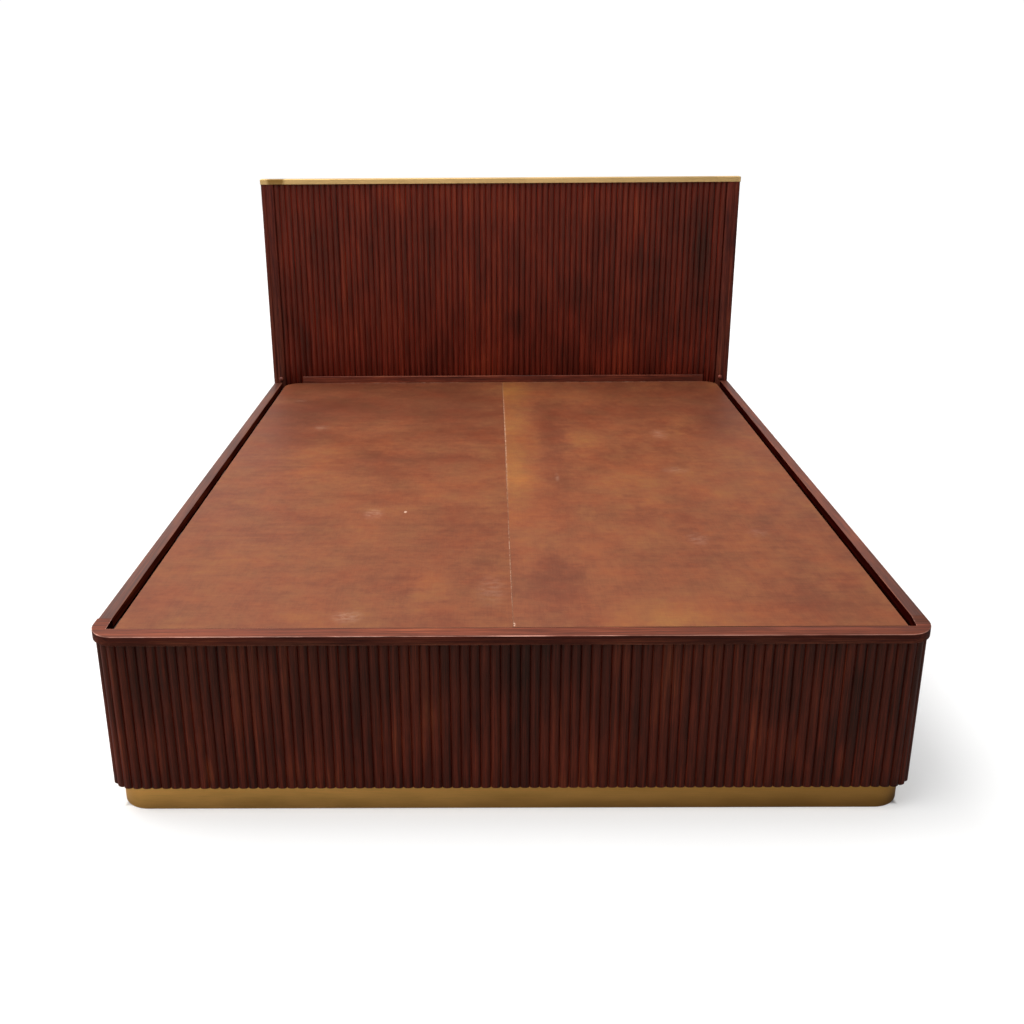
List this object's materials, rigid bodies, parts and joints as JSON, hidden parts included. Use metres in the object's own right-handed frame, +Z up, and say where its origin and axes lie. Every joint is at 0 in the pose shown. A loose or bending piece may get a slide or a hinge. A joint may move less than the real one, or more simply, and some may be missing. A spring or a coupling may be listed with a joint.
{
  "type": "king size bed",
  "caption": "King size bed with a fluted, round-cornered box base on a brass plinth, a lift-out plywood deck and a fluted headboard with a brass cap.",
  "frame": {"origin": "on the floor, in the middle of the bed's footprint", "axes": "+Z up, +Y towards the headboard, +X to the right of someone who looks from the foot end at the headboard"},
  "size_m": [1.93, 2.2353, 1.32],
  "materials": {
    "stained_wood": "dark reddish-brown stain under satin lacquer",
    "carcass_wood": "sanded, unfinished inside",
    "deck_plywood": "orange-brown stained plywood, low satin",
    "brass_trim": "brushed, slightly dulled",
    "zinc_steel": "zinc plated",
    "rubber_pad": "matt black"
  },
  "bodies": {
    "frame": {"foot_corner_flutes_left": "stained_wood", "foot_corner_flutes_right": "stained_wood", "foot_flutes": "stained_wood", "foot_top_rail": "stained_wood", "headboard_batten": "stained_wood", "headboard_button_left": "stained_wood", "headboard_button_right": "stained_wood", "headboard_flutes": "stained_wood", "headboard_stile_left": "stained_wood", "headboard_stile_right": "stained_wood", "left_side_flutes": "stained_wood", "left_top_rail": "stained_wood", "right_side_flutes": "stained_wood", "right_top_rail": "stained_wood", "foot_panel": "carcass_wood", "foot_corner_post_left": "carcass_wood", "foot_corner_post_right": "carcass_wood", "left_side_panel": "carcass_wood", "right_side_panel": "carcass_wood", "headboard_panel": "carcass_wood", "foot_plinth_board": "carcass_wood", "left_plinth_board": "carcass_wood", "right_plinth_board": "carcass_wood", "plinth_corner_block_left": "carcass_wood", "plinth_corner_block_right": "carcass_wood", "left_ledger": "carcass_wood", "right_ledger": "carcass_wood", "centre_beam": "carcass_wood", "centre_leg_1": "carcass_wood", "centre_leg_2": "carcass_wood", "centre_leg_3": "carcass_wood", "cross_bearer_1": "carcass_wood", "cross_bearer_2": "carcass_wood", "cross_bearer_3": "carcass_wood", "cross_bearer_4": "carcass_wood", "cross_bearer_5": "carcass_wood", "foot_plinth_brass": "brass_trim", "left_plinth_brass": "brass_trim", "right_plinth_brass": "brass_trim", "headboard_brass_cap": "brass_trim", "beam_hanger_foot": "zinc_steel", "beam_hanger_head": "zinc_steel", "foot_bracket_left": "zinc_steel", "foot_post_bolt_left": "zinc_steel", "foot_side_bolt_left": "zinc_steel", "foot_bracket_right": "zinc_steel", "foot_post_bolt_right": "zinc_steel", "foot_side_bolt_right": "zinc_steel", "head_bracket_left": "zinc_steel", "head_post_bolt_left": "zinc_steel", "head_side_bolt_left": "zinc_steel", "head_bracket_right": "zinc_steel", "head_post_bolt_right": "zinc_steel", "head_side_bolt_right": "zinc_steel", "centre_leg_pad_1": "rubber_pad", "centre_leg_pad_2": "rubber_pad", "centre_leg_pad_3": "rubber_pad"},
    "left_board": {"deck_board_left": "deck_plywood"},
    "right_board": {"deck_board_right": "deck_plywood"}
  },
  "joints": [
    {"name": "left_board_lift", "type": "slide", "parent": "frame", "child": "left_board", "axis": [0, 0, 1], "range_m": [0, 0.3]},
    {"name": "right_board_lift", "type": "slide", "parent": "frame", "child": "right_board", "axis": [0, 0, 1], "range_m": [0, 0.3]}
  ]
}
